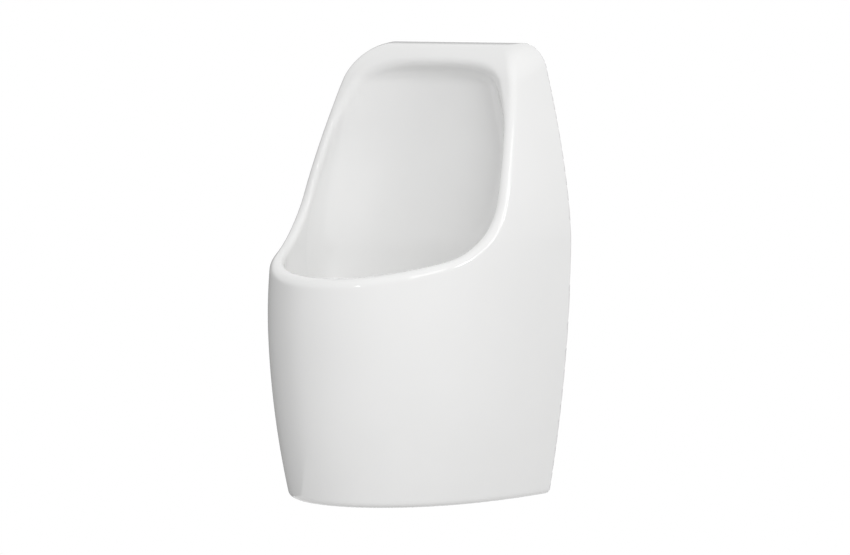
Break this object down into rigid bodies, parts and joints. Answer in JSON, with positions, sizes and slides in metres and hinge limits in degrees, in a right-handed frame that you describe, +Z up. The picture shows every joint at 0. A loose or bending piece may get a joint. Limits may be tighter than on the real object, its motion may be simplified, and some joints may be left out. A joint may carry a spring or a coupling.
{
  "type": "wall hung urinal",
  "caption": "Waterless wall hung urinal: a white china bowl with a rolled rim, a lift-out trap in its drain, a back outlet and hidden wall hangers.",
  "frame": {"origin": "centre of the waste outlet pipe where it meets the wall", "axes": "+Z up, +Y into the wall along the outlet pipe, the bowl faces -Y, +X to the right of someone facing it"},
  "size_m": [0.4004, 0.38, 0.62],
  "materials": {
    "china": "white gloss glaze",
    "fitting_plastic": "moulded polypropylene, light grey",
    "nut_plastic": "moulded polypropylene, dark grey",
    "pipe_plastic": "grey pipe",
    "black_rubber": "black EPDM",
    "cartridge_plastic": "moulded ABS, off-white",
    "float_plastic": "moulded polypropylene, blue",
    "cover_steel": "brushed stainless steel",
    "bracket_steel": "zinc plated steel",
    "screw_steel": "zinc plated steel",
    "nylon": "nylon",
    "cap_plastic": "white plastic"
  },
  "bodies": {
    "root": {"ceramic_body": "china", "drain_housing": "fitting_plastic", "housing_gasket": "black_rubber", "housing_slip_ring": "nylon", "housing_locknut": "nut_plastic", "outlet_pipe": "pipe_plastic", "outlet_cone_seal": "black_rubber", "outlet_slip_nut": "nut_plastic", "hanger_bracket_left": "bracket_steel", "hanger_bracket_right": "bracket_steel", "hanger_screws": "screw_steel", "hanger_washers": "screw_steel", "wall_plugs": "nylon", "lower_bracket_left": "bracket_steel", "lower_bracket_right": "bracket_steel", "lower_bracket_screws": "screw_steel", "lower_bracket_washers": "screw_steel", "lower_fixing_screws": "screw_steel", "lower_fixing_sleeves": "nylon", "screw_caps": "cap_plastic", "wall_pads": "black_rubber"},
    "cartridge": {"cartridge_cup": "cartridge_plastic", "cartridge_o_rings": "black_rubber", "standpipe_seal": "black_rubber", "cartridge_lid": "cartridge_plastic"},
    "float": {"float_bell": "float_plastic"},
    "cover": {"drain_cover": "cover_steel"}
  },
  "joints": [
    {"name": "cartridge_lift", "type": "slide", "parent": "root", "child": "cartridge", "axis": [0, 0, 1], "range_m": [0, 0.14]},
    {"name": "float_rise", "type": "slide", "parent": "cartridge", "child": "float", "axis": [0, 0, 1], "range_m": [0, 0.009]},
    {"name": "cover_lift", "type": "slide", "parent": "cartridge", "child": "cover", "axis": [0, 0, 1], "range_m": [0, 0.06]}
  ]
}
